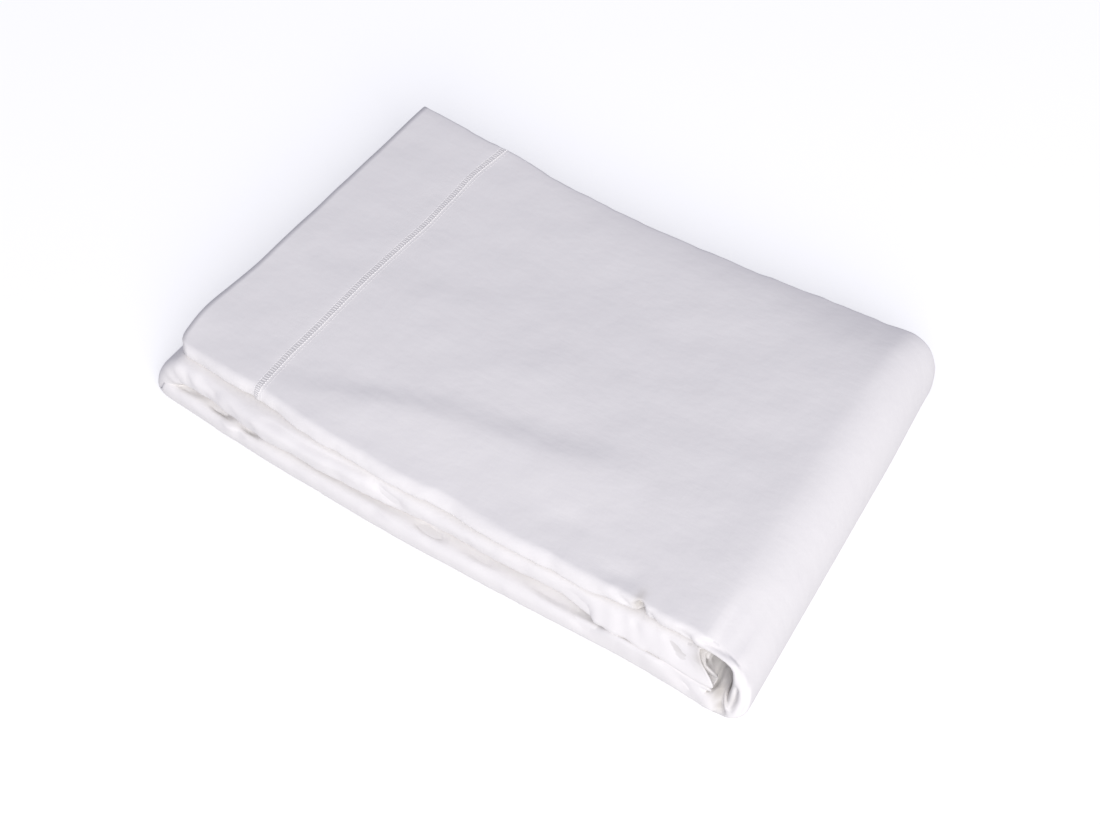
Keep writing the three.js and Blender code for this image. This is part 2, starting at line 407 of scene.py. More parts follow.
def shape_ends(point, travel):
    """Moves points along X: past the right bend's start by a share that falls with y, and in the
    hem by an amount that blends from the hem edge's to the stitch line's and then fades."""
    x, y, z = point[..., 0], point[..., 1], point[..., 2]
    outside = np.clip(x - TOP_END_X, 0, None)
    far_corner = ease((y - FAR_CORNER_FROM) / FAR_CORNER_OVER) * ease(outside / 20)
    moved = -outside * RIGHT_LEAN * y - FAR_CORNER_IN * far_corner
    near_corner = ease((HEM_NEAR_END - y) / NEAR_CORNER_OVER)
    edge = bowed(y, HEM_BOWS) - HEM_OUT + NEAR_CORNER_IN * near_corner
    lean = np.clip((y - HEM_NEAR_END) / STITCH_LENGTH, 0, None) ** 2.5
    stitch = bowed(y, STITCH_BOWS) - STITCH_OUT + STITCH_LEAN * lean
    hem = ease(travel / HEM_LINE)
    top_run = np.where(travel < HEM_LINE, 1, 1 - ease((travel - HEM_LINE) / HEM_FADES_OVER))
    moved = moved + top_run * ((1 - hem) * edge + hem * stitch)
    corner = bell((y + 137) / 18) * (1 - ease(travel / 60))
    return np.stack([x + moved, y, z - NEAR_CORNER_SAG * corner * ease(z / 40)], axis=-1)


place = shape_ends(place, rows["travel"][:, None])

# The plies don't end flush at the hem. Each layer's hem lies a little further in than the top
# one's, by the amounts below for each row across, and the inner ply's a little further again.
LAYER_SETBACKS = (3.4, 3.0, 2.2, 1.2, 4.2, 2.0, 0.0, 0.6, 1.6, 2.6, 3.8)
INNER_SETBACK = 1.4
set_back = np.concatenate([
    np.full(row["steps"] + (1 if row["kind"] == "layer" else -1), float(value))
    for row, value in zip(ACROSS, LAYER_SETBACKS)
])
set_back = np.convolve(np.pad(set_back, 2, mode="edge"), np.ones(5) / 5, mode="valid")
inner_back = INNER_SETBACK * (rows["swing"] > 0)[:, None]
place[..., 0] += (set_back[None, :] + inner_back) * (1 - ease(rows["travel"] / 30))[:, None]

# The folds and dents that the cloth has kept. Each row gives how far the cloth is
# moved, the reach below and above the line, how sharp its top is (2 is a soft bell, 1 a crest),
# the length over which its ends fade, and the line that it follows.
PANEL_FOLDS = (
    ((0, 0, 1.8), 34, 8.5, 1.8, 66, (
        (-140, -128, 57), (-133, -125, 57), (-105, -114, 57), (-84, -106, 57), (-62, -98, 57),
        (-39, -90, 57), (-12, -84, 57), (10, -81, 57), (41, -75, 57), (76, -63, 57), (106, -50, 57))),
    ((0, 0, -1.0), 8, 24, 2, 50, (
        (-120, -108, 57), (-84, -92, 57), (-39, -76, 57), (10, -67, 57), (60, -55, 57), (90, -44, 57))),
    ((0, 0, 0.5), 12, 12, 2, 30, ((-51, -57, 57), (-21, -35, 57), (21, -13, 57))),
    ((0, 0, 0.35), 10, 8, 2, 20, (
        (-121, -23, 57), (-92, -7, 57), (-64, -2, 57), (-18, 0, 57), (26, -10, 57))),
    ((0, 1.2, -2.0), 15, 8, 2, 110, (
        (-140, 144, 57), (-125, 143, 57), (-60, 141, 57), (0, 140, 57), (60, 143, 57),
        (110, 149, 57), (180, 154, 56))),
    ((0, 0, -0.7), 8, 7, 2, 14, ((60, -122, 55), (83, -111, 55), (98, -110, 55))),
    ((0, 0, -0.9), 6, 6, 2, 12, ((116, -131, 53), (130, -126, 53), (145, -125, 53))),
    ((0, 0, -0.6), 12, 10, 2, 16, ((138, -94, 55), (165, -80, 55), (180, -79, 55))),
    ((0, 0, -0.5), 8, 8, 2, 14, ((-203, -16, 57), (-185, -17, 57), (-164, -17, 57))),
    ((0, 0, -0.35), 3.5, 3.5, 2, 6, ((-184, -109, 57), (-166, -106, 57))),
    ((0, 0, -0.3), 3.5, 3.5, 2, 6, ((-185, -94, 57), (-173, -94, 57))),
    ((0, 0, -0.3), 3.5, 3.5, 2, 6, ((-176, -86, 57), (-166, -83, 57))),
)

# The slit between the bottom and the middle run gapes in places. Each row gives the X of a mouth,
# the Y of its lip and the lip's breadth, its height, its length, how far the run above rises and
# the share of its height by which the run below sinks.
SLIT_MOUTHS = (
    (-212, -145, 2.6, 21.5, 12, 0.4, 0.10), (-178, -147, 2.4, 20.5, 10, 0.7, 0.20),
    (-151, -149, 2.4, 21, 8, 0.7, 0.18), (0, -148, 2.6, 24, 9, 0.8, 0.22),
    (38, -147, 3.0, 24, 13, 0.4, 0.08), (92, -146, 3.0, 23, 14, 0.5, 0.10),
    (116, -145, 3.4, 23, 8, 0.2, 0.08), (210, -137, 11, 22, 8, 0.0, 0.62),
)

# The wrinkles of the rolls along the near side, and the pushes that open the mouth at the near
# right corner, in rows like those of the panel's folds. The pushes go deeper than they are wide.
CORNER_DEPTH = 3.5
SIDE_FOLDS = (
    ((0, -1.0, 6.5), 5.5, 5.0, 2, 12, ((128, -150, 20), (165, -149, 20), (210, -149, 19))),
    ((0, -6.5, -4.0), 6.5, 5.5, 2, 12, ((118, -143, 29), (165, -142, 29), (206, -142, 27))),
    ((0, -1.8, 0), 4.5, 4.5, 2, 16, ((-100, -150, 23), (-60, -152, 23), (-22, -150, 23))),
    ((0, -2.6, 0), 4.0, 4.0, 2, 16, ((-190, -140, 45), (-100, -144, 45), (0, -141, 44), (130, -139, 43))),
    ((0, 1.6, 0.0), 5.0, 3.0, 1.6, 5, ((114, -151, 20), (122, -152, 17), (125, -152, 12))),
    ((0, 1.7, 0.0), 3.2, 3.6, 1.5, 6, ((-211, -143, 44), (-205, -148, 39), (-203, -150, 32))),
    ((0, 2.0, -0.6), 2.4, 4.4, 1.4, 8, ((-200, -146, 43.5), (-190, -148, 41), (-175, -150, 36))),
    ((0, -0.8, 0.2), 2.4, 4.0, 1.5, 8, ((-196, -149, 36), (-180, -150, 32), (-160, -151, 30))),
    ((0, -1.8, 0.5), 2.2, 2.6, 1.5, 4, ((-174, -152, 19), (-167, -154, 17.5), (-160, -154, 18.5))),
    ((0, 2.0, 0.0), 2.4, 2.4, 1.3, 4, ((-165, -156, 13), (-158, -156, 15), (-153, -155, 18))),
    ((0, 3.4, -0.8), 2.4, 5.0, 1.4, 10, (
        (-140, -152, 42), (-122, -151, 43), (-105, -152, 40), (-79, -151, 41), (-49, -149, 42),
        (-42, -150, 37), (-34, -149, 33), (-21, -148, 29))),
    ((0, -1.4, 0.6), 2.0, 2.4, 1.5, 5, ((-40, -153, 22), (-28, -155, 20.5), (-18, -155, 21))),
    ((0, 1.8, 0.0), 2.2, 2.2, 1.3, 4, ((-48, -157, 15), (-40, -156, 18), (-33, -155, 20))),
    ((0, 2.2, -0.8), 2.0, 4.0, 1.4, 5, ((5, -145, 43), (13, -146, 42), (25, -147, 39.5))),
    ((0, 10.0, -1.0), 3.0, 3.0, 2, 6, ((149.5, -155, 50), (150.5, -140, 49.5), (151, -124, 48))),
    ((0, 8.0, -1.0), 2.6, 2.6, 2, 6, ((151, -155, 46), (152.5, -140, 45), (152, -128, 45))),
    ((0, 1.8, -0.6), 2.6, 3.0, 1.4, 4, ((130, -138, 53), (138, -139, 50), (146, -139, 46))),
    ((0, 1.6, -0.6), 2.6, 3.0, 1.4, 4, ((156, -137, 52), (161, -138, 47), (163, -138, 42))),
    ((0, 1.5, 0.0), 2.6, 2.6, 1.4, 5, ((148, -142, 40), (156, -144, 34), (168, -143, 27))),
    ((0, 2.4, -1.4), 3.4, 3.8, 1.4, 4, ((176, -139, 51), (187, -139, 48), (198, -140, 44))),
    ((-0.6, 2.4, -2.0), 3.6, 3.6, 1.4, 4, ((202, -136, 54), (207, -137, 49), (210, -138, 44))),
    ((-2.2, 2.0, -0.8), 3.2, 3.2, 1.4, 4, ((216, -134, 51), (221, -137, 44), (222, -139, 36))),
    ((0, 1.6, 0.0), 2.6, 4.0, 1.4, 5, ((168, -142, 41), (178, -143, 38), (190, -142, 30))),
    ((0, 2.0, 0.0), 2.6, 5.0, 1.4, 6, ((172, -149, 20), (185, -151, 16), (199, -153, 10))),
    ((0, 1.6, 0.0), 2.4, 3.6, 1.4, 5, ((180, -146, 23), (193, -148, 19), (205, -151, 13))),
)
END_SHARE = 0.15
CORNER_PUSHES = (
    ((8.0, 0, 5.0), 11, 11, 2, 1, ((207, -134, 38), (207, -152, 38))),
    ((10.0, 0, -2.0), 9, 7, 2, 1, ((198, -136, 25), (198, -152, 24))),
    ((-11.0, 0, -1.5), 11, 11, 2, 1, ((200, -134, 44), (200, -148, 44))),
    ((0, 7.0, -1.0), 3.2, 3.2, 2, 2, ((212, -146, 22), (216, -149, 14), (219, -151, 5))),
    ((0, 3.0, 0), 2.0, 2.0, 1.5, 3, ((222, -144, 30), (224, -146, 19), (223, -150, 8))),
    ((0, 2.4, 0), 1.8, 1.8, 1.5, 3, ((229, -141, 32), (231, -144, 22), (229, -148, 12))),
    ((-1.5, 1.5, -2.6), 8, 8, 2, 6, ((198, -136, 56), (210, -135, 53), (220, -134, 46))),
)


def press(point, folds, depth=1):
    """Moves points near each fold's line by its move times exp(-(distance / reach)^sharp), with one
    reach where they lie below or before the line and the other above or behind it. The move
    fades with a smooth step towards both ends, to END_SHARE of the step there. Lengths along Y
    are divided by the depth first, so that a push goes that much deeper than it is wide."""
    moved = np.zeros_like(point)
    squeezed = point / (1, depth, 1)
    for move, low, high, sharp, fade, line in folds:
        line = np.array(line, float) / (1, depth, 1)
        nearest = np.full(point.shape[:-1], np.inf)
        value = np.zeros(point.shape[:-1])
        lengths = np.linalg.norm(np.diff(line, axis=0), axis=1)
        for k, length in enumerate(lengths):
            step = (line[k + 1] - line[k]) / length
            offset = squeezed - line[k]
            along = offset @ step
            aside = offset - np.clip(along, 0, length)[..., None] * step
            distance = np.linalg.norm(aside, axis=-1)
            above = (aside[..., 1] + aside[..., 2]) / np.maximum(distance, 0.1)
            reach = low + (high - low) * ease(0.5 + above)
            before = lengths[:k].sum() + np.clip(along, 0, length)
            behind = lengths.sum() - before
            ends = ease(END_SHARE + before / fade) * ease(END_SHARE + behind / fade)
            here = ends * np.exp(-((distance / reach) ** sharp))
            closer = distance < nearest
            nearest = np.where(closer, distance, nearest)
            value = np.where(closer, here, value)
        moved += value[..., None] * np.array(move, float)
    return point + moved


def open_slit(point, travel):
    """Opens each mouth between the bottom and the middle run. The middle run rises there, and
    the bottom run is pressed down behind its lip by a share of its height: bells of X, Y and z."""
    middle = (travel >= run_starts["middle"])[:, None]
    lower = ((travel >= run_starts["bottom"]) & (travel < run_starts["left bend"]))[:, None]
    x, y, z = point[..., 0], point[..., 1], point[..., 2]
    for place_x, lip_y, breadth, height, length, rise, sunk in SLIT_MOUTHS:
        along = np.exp(-np.abs((x - place_x) / length) ** 2.5)
        lift = along * bell((z - height) / 8) * (1 - ease((y + 146) / 14))
        dent = along * bell((y - lip_y) / breadth) * ease(z / 6)
        z = z + middle * rise * lift - lower * sunk * z * dent
    return np.stack([x, y, z], axis=-1)


def waves(point, seed, shortest, longest, count):
    """Soft unevenness: a sum of sines over the point, each with its own seeded direction, length
    and phase, divided by the root of their number, so that it stays about between -1 and 1."""
    draw = np.random.default_rng(seed)
    total = 0
    for length in np.geomspace(shortest, longest, count):
        way = draw.normal(size=3)
        way *= 2 * math.pi / length / np.linalg.norm(way)
        total = total + (length / longest) ** 0.5 * np.sin(point @ way + draw.uniform(0, 2 * math.pi))
    return total / math.sqrt(count)


# The panel is only gently uneven. The rolls along the near side are crumpled in small facets,
# and the far side less.
GENTLE_RISE = 0.35
MOTTLE_RISE = 0.24
NEAR_CRUMPLE = 1.2
NEAR_DRIFT = 0.25
FAR_CRUMPLE = 0.8
FAR_DRIFT = 0.9
near_side = ease((-118 - place[..., 1]) / 22)
far_side = ease((place[..., 1] - 118) / 22)
above_floor = ease(place[..., 2] / 9)
less_below = 0.35 + 0.65 * ease((place[..., 2] - 12) / 10)
gentle = waves(place, seed=3, shortest=30, longest=120, count=14)
crumple = np.abs(waves(place, seed=8, shortest=12, longest=48, count=14)) - 0.5
drift = waves(place, seed=5, shortest=30, longest=90, count=10)
mottle = waves(place, seed=12, shortest=17, longest=62, count=14)
upper_half = ease((place[..., 2] - 30) / 20)
place[..., 2] += (GENTLE_RISE * gentle + MOTTLE_RISE * mottle * upper_half) * above_floor
place[..., 1] += near_side * less_below * (NEAR_CRUMPLE * crumple + NEAR_DRIFT * drift)
place[..., 1] += far_side * (FAR_DRIFT * drift - FAR_CRUMPLE * crumple)
place = open_slit(place, rows["travel"])
place = press(place, PANEL_FOLDS)
place = press(place, SIDE_FOLDS)
place = press(place, CORNER_PUSHES, CORNER_DEPTH)


def surface_normals(point):
    """Unit normals of a grid of points: the cross product of its two central differences."""
    normal = np.cross(np.gradient(point, axis=1), np.gradient(point, axis=0))
    size = np.linalg.norm(normal, axis=-1, keepdims=True)
    return -normal / np.maximum(size, 1e-9)


normal = surface_normals(place)


def closed_cloth(point, normal, thick):
    """Vertices and quads of the cloth: the grid moved half its thickness to each side, and a
    rim of quads round the four edges. The thickness is given for each row."""
    count, width = point.shape[:2]
    half = normal * np.asarray(thick)[:, None, None] / 2
    face = np.concatenate([(point + half).reshape(-1, 3), (point - half).reshape(-1, 3)])
    i, j = np.meshgrid(np.arange(count - 1), np.arange(width - 1), indexing="ij")
    a = (i * width + j).ravel()
    b = a + 1
    c = a + width + 1
    d = a + width
    under = count * width
    outer = np.stack([d, c, b, a], axis=1)
    inner = np.stack([a, b, c, d], axis=1) + under
    loop = np.concatenate([
        np.arange(width), np.arange(1, count) * width + width - 1,
        (count - 1) * width + np.arange(width - 2, -1, -1), np.arange(count - 2, 0, -1) * width,
    ])
    ahead = np.roll(loop, -1)
    rim = np.stack([loop, ahead, ahead + under, loop + under], axis=1)
    return face, np.concatenate([outer, inner, rim])


MM = 0.001


def mesh_object(name, vertices, faces, uv=None):
    """A smooth-shaded mesh object at the origin, from millimetre vertices and arrays of faces."""
    mesh = bpy.data.meshes.new(name)
    mesh.from_pydata((vertices * MM).tolist(), [], [face for array in faces for face in array.tolist()])
    mesh.polygons.foreach_set("use_smooth", np.ones(len(mesh.polygons), dtype=bool))
    if uv is not None:
        layer = mesh.uv_layers.new(name="flat_cloth")
        corners = np.concatenate([array.ravel() for array in faces])
        layer.data.foreach_set("uv", uv[corners].astype(np.float32).ravel())
    mesh.update()
    made = bpy.data.objects.new(name, mesh)
    bpy.context.scene.collection.objects.link(made)
    return made


# The cloth's own flat measure, in metres, is kept on the mesh for the weave: U across, from one
# selvedge to the other, and V along, from the hem. The hem is turned over, so it is thicker.
HEM_CLOTH = 1.0
HEM_TURN_END = HEM_LINE - 5.5
HEM_TURN_STEP = 1.2
across = np.linalg.norm(np.diff(place, axis=1), axis=-1).mean(axis=0)
along = np.linalg.norm(np.diff(place, axis=0), axis=-1).mean(axis=1)
along = np.where(np.diff(rows["travel"]) == 0, along, np.abs(np.diff(rows["travel"])))
flat_u = np.concatenate([[0], np.cumsum(across)])
flat_v = np.concatenate([[0], np.cumsum(along)])
uv = np.stack(np.broadcast_arrays(flat_u[None, :], flat_v[:, None]), axis=-1).reshape(-1, 2) * MM
uv = np.concatenate([uv, uv])
past_turn = ease((rows["travel"] - HEM_TURN_END) / HEM_TURN_STEP)
thick = CLOTH + (HEM_CLOTH - CLOTH) * (1 - past_turn)
vertices, faces = closed_cloth(place, normal, thick)
sheet = mesh_object("folded_sheet", vertices, [faces], uv)


# Inside the openings along the near side the cloth is painted darker and warmer: painted shade,
# warm as light that has come through other cloth. How far a point lies in this painted shade is kept
# on the mesh, from 0 to 1. Each row gives the X, Y and z of a place, its length along X, its breadth and
# the strength of its painted shade.
PAINTED_SHADE_SPOTS = (
    (-214, -147, 22, 8, 2.6, 0.4), (-198, -146, 21.5, 8, 2.4, 0.5), (-178, -147, 20, 7, 2.6, 1.0),
    (-173, -149, 22, 4, 2.2, 1.0), (-151, -149, 21, 6, 2.4, 1.0), (-145, -151, 22, 4, 2.0, 0.9),
    (-95, -150, 21, 22, 1.5, 0.3), (-55, -150, 22, 24, 1.5, 0.45), (-2, -148, 22, 7, 2.5, 0.9),
    (36, -147, 23, 13, 1.8, 0.3), (92, -147, 22, 14, 1.8, 0.3), (116, -147, 21, 7, 3.5, 0.25),
    (148.5, -133, 49, 3, 6, 0.6), (197, -140, 38, 4.5, 6, 0.45), (203, -138, 34, 5, 7, 0.4),
    (213, -143, 16, 4.5, 7, 0.6), (217, -146, 9, 3, 5, 0.6), (223, -143, 17, 3, 6, 0.22),
)


def painted_shade_in_openings(point):
    """The painted shade's strength at each point: the greatest, over the openings, of amount *
    exp(-(dx / length)^2 - (dy^2 + dz^2) / breadth^2), where dx, dy and dz lead from the opening's place
    to the point."""
    most_painted_shade = np.zeros(point.shape[:-1])
    for x, y, z, length, breadth, amount in PAINTED_SHADE_SPOTS:
        aside = ((point[..., 1] - y) ** 2 + (point[..., 2] - z) ** 2) / breadth**2
        most_painted_shade = np.maximum(most_painted_shade, amount * np.exp(-((point[..., 0] - x) / length) ** 2 - aside))
    return most_painted_shade


painted_shade_depth = sheet.data.attributes.new("painted_shade_depth", "FLOAT", "POINT")
painted_shade_depth.data.foreach_set("value", np.tile(painted_shade_in_openings(place).ravel(), 2).astype(np.float32))


def new_group(name, inputs, outputs):
    """An empty shader node group with named float inputs, each with a value, and named outputs."""
    group = bpy.data.node_groups.new(name, "ShaderNodeTree")
    for label, value in inputs:
        socket = group.interface.new_socket(label, in_out="INPUT", socket_type="NodeSocketFloat")
        socket.default_value = value
    for label in outputs:
        group.interface.new_socket(label, in_out="OUTPUT", socket_type="NodeSocketFloat")
    start = group.nodes.new("NodeGroupInput")
    end = group.nodes.new("NodeGroupOutput")
    return group, start, end


def maths(tree, operation, *values):
    """A Math node. Each value is a number or another node's output socket."""
    node = tree.nodes.new("ShaderNodeMath")
    node.operation = operation
    for socket, value in zip(node.inputs, values):
        if isinstance(value, (int, float)):
            socket.default_value = value
        else:
            tree.links.new(value, socket)
    return node.outputs[0]


def streaks(tree, vector, scale_u, scale_v, detail):
    """Noise over the flat cloth, stretched along one of its threads."""
    mapping = tree.nodes.new("ShaderNodeMapping")
    mapping.inputs["Scale"].default_value = (scale_u, scale_v, 1)
    noise = tree.nodes.new("ShaderNodeTexNoise")
    noise.noise_dimensions = "2D"
    noise.inputs["Scale"].default_value = 1
    noise.inputs["Detail"].default_value = detail
    tree.links.new(vector, mapping.inputs["Vector"])
    tree.links.new(mapping.outputs["Vector"], noise.inputs["Vector"])
    return noise.outputs["Fac"]


# Plain weave: threads of two directions that pass over each other, some of them thicker than the
# rest. "Height" is the surface of the threads, and "Thread" is lighter on the thick ones.
weave, weave_in, weave_out = new_group(
    "plain_weave", (("Thread Pitch", 0.0005), ("Slubs", 1.0)), ("Height", "Thread"))
weave_uv = weave.nodes.new("ShaderNodeUVMap")
weave_uv.uv_map = "flat_cloth"
split = weave.nodes.new("ShaderNodeSeparateXYZ")
weave.links.new(weave_uv.outputs["UV"], split.inputs[0])
turns = maths(weave, "DIVIDE", math.pi, weave_in.outputs["Thread Pitch"])
wave_u = maths(weave, "SINE", maths(weave, "MULTIPLY", split.outputs[0], turns))
wave_v = maths(weave, "SINE", maths(weave, "MULTIPLY", split.outputs[1], turns))
threads = maths(weave, "MULTIPLY", wave_u, wave_v)
warp = streaks(weave, weave_uv.outputs["UV"], scale_u=1400, scale_v=24, detail=1)
weft = streaks(weave, weave_uv.outputs["UV"], scale_u=30, scale_v=1700, detail=1)
thick_threads = maths(weave, "MULTIPLY", maths(weave, "ADD", warp, weft), weave_in.outputs["Slubs"])
WAVE_SHARE = 0.35
height = maths(weave, "ADD", maths(weave, "MULTIPLY", threads, WAVE_SHARE), thick_threads)
weave.links.new(height, weave_out.inputs["Height"])
weave.links.new(thick_threads, weave_out.inputs["Thread"])

cotton = bpy.data.materials.new("white_cotton")
cotton.use_nodes = True
tree = cotton.node_tree
shader = tree.nodes["Principled BSDF"]
shader.inputs["Roughness"].default_value = 0.82
shader.inputs["Specular IOR Level"].default_value = 0.35
shader.inputs["Sheen Weight"].default_value = 0.12
shader.inputs["Sheen Roughness"].default_value = 0.4
cloth_uv = tree.nodes.new("ShaderNodeUVMap")
cloth_uv.uv_map = "flat_cloth"
cloth_split = tree.nodes.new("ShaderNodeSeparateXYZ")
tree.links.new(cloth_uv.outputs["UV"], cloth_split.inputs[0])
cloth_weave = tree.nodes.new("ShaderNodeGroup")
cloth_weave.node_tree = weave
cloth_weave.inputs["Slubs"].default_value = 0.7

# The press has left faint creases and cloudy patches. Beside the hem, the openings where threads are
# drawn between the rungs of the stitching get painted shade.
cloudy = streaks(tree, cloth_uv.outputs["UV"], scale_u=34, scale_v=26, detail=4)
crinkle = streaks(tree, cloth_uv.outputs["UV"], scale_u=150, scale_v=110, detail=3)
LADDER = (0.0683, 0.0719)
RUNG_PITCH = 0.0021
OPEN_ABOVE = -0.25
OPENING_DEPTH = 2
THREAD_SHARE = 0.22
CLOUD_SHARE = 0.6
CLOUD_BUMP = 1.6
from_hem = cloth_split.outputs[1]
inside = maths(tree, "MULTIPLY", maths(tree, "GREATER_THAN", from_hem, LADDER[0]),
               maths(tree, "LESS_THAN", from_hem, LADDER[1]))
rung_turns = 2 * math.pi / RUNG_PITCH
rung_wave = maths(tree, "SINE", maths(tree, "MULTIPLY", cloth_split.outputs[0], rung_turns))
opening = maths(tree, "MULTIPLY", inside, maths(tree, "GREATER_THAN", rung_wave, OPEN_ABOVE))
shade = tree.nodes.new("ShaderNodeMix")
shade.data_type = "RGBA"
shade.inputs["A"].default_value = (0.795, 0.775, 0.750, 1)
shade.inputs["B"].default_value = (0.832, 0.812, 0.787, 1)
clouds = maths(tree, "MULTIPLY", cloudy, CLOUD_SHARE)
paler = maths(tree, "MULTIPLY_ADD", cloth_weave.outputs["Thread"], THREAD_SHARE, clouds)
tree.links.new(paler, shade.inputs["Factor"])
# Painted shade: the ladder's openings between the rungs are mixed towards a darker grey.
ladder_painted_shade = tree.nodes.new("ShaderNodeMix")
ladder_painted_shade.data_type = "RGBA"
ladder_painted_shade.inputs["B"].default_value = (0.655, 0.638, 0.62, 1)
tree.links.new(opening, ladder_painted_shade.inputs["Factor"])
tree.links.new(shade.outputs["Result"], ladder_painted_shade.inputs["A"])
# Painted shade: points in the near side's openings are mixed towards a dark warm brown, by the amount
# kept on the mesh.
painted_shade = tree.nodes.new("ShaderNodeMix")
painted_shade.data_type = "RGBA"
painted_shade.inputs["B"].default_value = (0.30, 0.27, 0.215, 1)
painted_shade_value = tree.nodes.new("ShaderNodeAttribute")
painted_shade_value.attribute_name = "painted_shade_depth"
tree.links.new(painted_shade_value.outputs["Fac"], painted_shade.inputs["Factor"])
tree.links.new(ladder_painted_shade.outputs["Result"], painted_shade.inputs["A"])
tree.links.new(painted_shade.outputs["Result"], shader.inputs["Base Color"])
soft_bump = tree.nodes.new("ShaderNodeBump")
soft_bump.inputs["Strength"].default_value = 0.22
soft_bump.inputs["Distance"].default_value = 0.0009
soft_height = maths(tree, "MULTIPLY_ADD", cloudy, CLOUD_BUMP, crinkle)
tree.links.new(soft_height, soft_bump.inputs["Height"])
fine_bump = tree.nodes.new("ShaderNodeBump")
fine_bump.inputs["Strength"].default_value = 0.35
fine_bump.inputs["Distance"].default_value = 0.00012
sunk = maths(tree, "MULTIPLY", opening, OPENING_DEPTH)
fine_height = maths(tree, "SUBTRACT", cloth_weave.outputs["Height"], sunk)
tree.links.new(fine_height, fine_bump.inputs["Height"])
tree.links.new(soft_bump.outputs["Normal"], fine_bump.inputs["Normal"])
tree.links.new(fine_bump.outputs["Normal"], shader.inputs["Normal"])
sheet.data.materials.append(cotton)

# The hem is held by drawn-thread hemstitching: between two rows of stitches, bundles of the
# cloth's own threads are drawn together into the rungs of a ladder, and a finer row runs beside
# them. It is sewn by machine with white cotton thread, through the ply that shows.
RUNG_WIDTH = 0.85
RUNG_HEIGHT = 0.4
RUNG_START = 0.79
RUNG_UNEVEN = 0.22
THREAD_SIDES = 6
RING_PLACES = (-0.9, -0.4, 0.4, 0.9)
THREAD_POINTS = 2 + THREAD_SIDES * len(RING_PLACES)


def line_on_sheet(travel, u):
    """Points and normals of the outer ply at one travel and at an array of flat places across:
    the grid's own, blended between its two nearest rows and columns."""
    there = int(np.argmax(rows["swing"] > 0))
    row = float(np.interp(travel, rows["travel"][:there], np.arange(there)))
    column = np.interp(u, flat_u, np.arange(len(flat_u)))
    i, j = int(row), np.minimum(column.astype(int), len(flat_u) - 2)
    across_share, along_share = (column - j)[:, None], row - i
    found = []
    for grid in (place, normal):
        low = grid[i, j] * (1 - across_share) + grid[i, j + 1] * across_share
        high = grid[i + 1, j] * (1 - across_share) + grid[i + 1, j + 1] * across_share
        found.append(low * (1 - along_share) + high * along_share)
    return found[0], found[1] / np.linalg.norm(found[1], axis=1, keepdims=True)


def stitches(start, end, normal, width, height, first):
    """Threads from start to end. Each is a hexagonal tube of four rings, whose breadth is the
    square root of 1 - s^2 with s from -1 to 1 along it, and is closed at both ends by fans. The
    points of the threads are numbered from first."""
    sides = np.linspace(0, 2 * math.pi, THREAD_SIDES + 1)[:-1]
    along = end - start
    aside = np.cross(normal, along)
    aside /= np.linalg.norm(aside, axis=1, keepdims=True)
    rings = []
    for s in RING_PLACES:
        breadth = math.sqrt(1 - s * s)
        centre = (start + end) / 2 + along * s / 2
        ring = centre[:, None] + breadth * (
            aside[:, None] * np.cos(sides)[None, :, None] * width / 2
            + normal[:, None] * np.sin(sides)[None, :, None] * height / 2)
        rings.append(ring)
    points = np.concatenate([start[:, None], *rings, end[:, None]], axis=1)
    base = first + THREAD_POINTS * np.arange(len(start))[:, None, None]
    k = np.arange(THREAD_SIDES)
    after = (k + 1) % THREAD_SIDES
    tip = THREAD_POINTS - 1 + 0 * k
    first_ring, *next_rings = (1 + n * THREAD_SIDES for n in range(len(RING_PLACES)))
    last_ring = next_rings[-1]
    quads = np.concatenate([
        base + np.stack([r - THREAD_SIDES + k, r - THREAD_SIDES + after, r + after, r + k], axis=1)
        for r in next_rings
    ], axis=1)
    caps = np.concatenate([
        base + np.stack([0 * k, first_ring + after, first_ring + k], axis=1),
        base + np.stack([tip, last_ring + k, last_ring + after], axis=1),
    ], axis=1)
    return points.reshape(-1, 3), quads.reshape(-1, 4), caps.reshape(-1, 3)


uneven = np.random.default_rng(21)
RUNG = RUNG_PITCH / MM
first_rung = math.ceil(flat_u[marks[ROLL] - 1] / RUNG)
last_rung = int(flat_u[marks[FAR_FOLD] + 5] / RUNG)
rung_u = (np.arange(first_rung, last_rung) + RUNG_START) * RUNG
rung_u += uneven.uniform(-RUNG_UNEVEN, RUNG_UNEVEN, len(rung_u))
low, low_normal = line_on_sheet(LADDER[0] / MM - 0.2, rung_u)
high, high_normal = line_on_sheet(LADDER[1] / MM + 0.2, rung_u)
rung_normal = (low_normal + high_normal) / 2
raised = (HEM_CLOTH + CLOTH) / 4
lift = rung_normal * raised
rungs = stitches(low + lift, high + lift, rung_normal, RUNG_WIDTH, RUNG_HEIGHT, first=0)
made = [rungs]
count = len(rungs[0])
for travel, pitch, width, height, slant in (
    (LADDER[0] / MM - 0.5, RUNG, 0.55, 0.45, 0.25), (LADDER[1] / MM + 0.7, RUNG, 0.9, 0.8, 0.3),
    (LADDER[1] / MM + 3.2, 2.9, 0.5, 0.35, 0.0),
):
    ends = np.arange(rung_u[0], rung_u[-1], pitch)
    begin, normal_here = line_on_sheet(travel - slant, ends)
    finish, _ = line_on_sheet(travel + slant, ends + pitch * 0.94)
    lift = normal_here * (CLOTH / 2 + height / 4)
    row_made = stitches(begin + lift, finish + lift, normal_here, width, height, count)
    made.append(row_made)
    count += len(row_made[0])
stitch_points, stitch_quads, stitch_caps = (np.concatenate(arrays) for arrays in zip(*made))
hemstitch = mesh_object("hemstitch", stitch_points, [stitch_quads, stitch_caps])

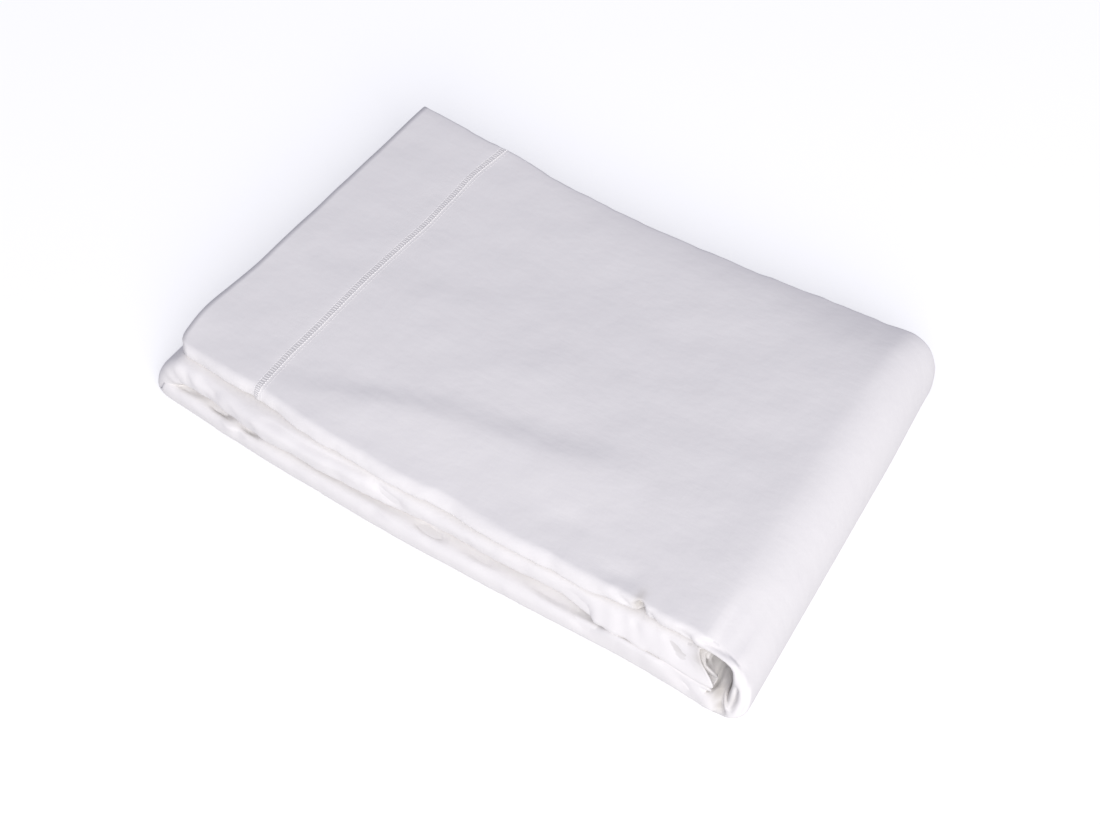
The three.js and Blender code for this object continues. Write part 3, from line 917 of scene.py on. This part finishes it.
thread = bpy.data.materials.new("white_thread")
thread.use_nodes = True
tree = thread.node_tree
shader = tree.nodes["Principled BSDF"]
shader.inputs["Roughness"].default_value = 0.6
shader.inputs["Sheen Weight"].default_value = 0.1
thread_place = tree.nodes.new("ShaderNodeTexCoord")
fibres = tree.nodes.new("ShaderNodeTexNoise")
fibres.inputs["Scale"].default_value = 2600
fibres.inputs["Detail"].default_value = 1
tree.links.new(thread_place.outputs["Object"], fibres.inputs["Vector"])
tone = tree.nodes.new("ShaderNodeMix")
tone.data_type = "RGBA"
tone.inputs["A"].default_value = (0.82, 0.80, 0.78, 1)
tone.inputs["B"].default_value = (0.90, 0.89, 0.87, 1)
tree.links.new(fibres.outputs["Fac"], tone.inputs["Factor"])
tree.links.new(tone.outputs["Result"], shader.inputs["Base Color"])
twist = tree.nodes.new("ShaderNodeBump")
twist.inputs["Strength"].default_value = 0.4
twist.inputs["Distance"].default_value = 0.0001
tree.links.new(fibres.outputs["Fac"], twist.inputs["Height"])
tree.links.new(twist.outputs["Normal"], shader.inputs["Normal"])
hemstitch.data.materials.append(thread)
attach(hemstitch, "root")

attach(sheet, "root")
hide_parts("sheet")

# A plain pale floor, and soft studio light: one large lamp behind the camera, and an even
# surround. A camera sees the floor and the surround as white. Half the floor's side is in metres.
HALF_FLOOR = 4.5
floor_corners = [
    (-HALF_FLOOR, -HALF_FLOOR, 0), (HALF_FLOOR, -HALF_FLOOR, 0),
    (HALF_FLOOR, HALF_FLOOR, 0), (-HALF_FLOOR, HALF_FLOOR, 0),
]
floor_mesh = bpy.data.meshes.new("floor")
floor_mesh.from_pydata(floor_corners, [], [(0, 1, 2, 3)])
floor = bpy.data.objects.new("floor", floor_mesh)
bpy.context.scene.collection.objects.link(floor)
paper = bpy.data.materials.new("white_paper")
paper.use_nodes = True
surface = paper.node_tree.nodes["Principled BSDF"]
surface.inputs["Base Color"].default_value = (0.66, 0.66, 0.66, 1)
surface.inputs["Roughness"].default_value = 0.9
surface.inputs["Emission Strength"].default_value = 0.46
seen = paper.node_tree.nodes.new("ShaderNodeLightPath")
paper.node_tree.links.new(seen.outputs["Is Camera Ray"], surface.inputs["Emission Color"])
floor_mesh.materials.append(paper)


def soft_light(name, azimuth, elevation, distance, size, power_watts, colour):
    """A square area light that faces the pack from an azimuth and elevation in degrees."""
    data = bpy.data.lights.new(name, "AREA")
    data.size = size
    data.energy = power_watts
    data.color = colour
    made = bpy.data.objects.new(name, data)
    a, e = math.radians(azimuth), math.radians(elevation)
    back = Vector((math.sin(a) * math.cos(e), -math.cos(a) * math.cos(e), math.sin(e)))
    made.location = back * distance
    made.rotation_euler = (-back).to_track_quat("-Z", "Y").to_euler()
    bpy.context.scene.collection.objects.link(made)
    return made


soft_light(
    "key", azimuth=43, elevation=34, distance=6.0, size=4.5, power_watts=350,
    colour=(0.99, 0.975, 0.985),
)
world = bpy.data.worlds.new("studio")
world.use_nodes = True
studio = world.node_tree
studio.nodes["Background"].inputs["Strength"].default_value = 0.478
seen = studio.nodes.new("ShaderNodeLightPath")
wall = studio.nodes.new("ShaderNodeMix")
wall.data_type = "RGBA"
wall.inputs["A"].default_value = (0.81, 0.815, 1.0, 1)
wall.inputs["B"].default_value = (2.2, 2.2, 2.2, 1)
studio.links.new(seen.outputs["Is Camera Ray"], wall.inputs["Factor"])
studio.links.new(wall.outputs["Result"], studio.nodes["Background"].inputs["Color"])
bpy.context.scene.world = world
bpy.context.scene.view_settings.view_transform = "Standard"
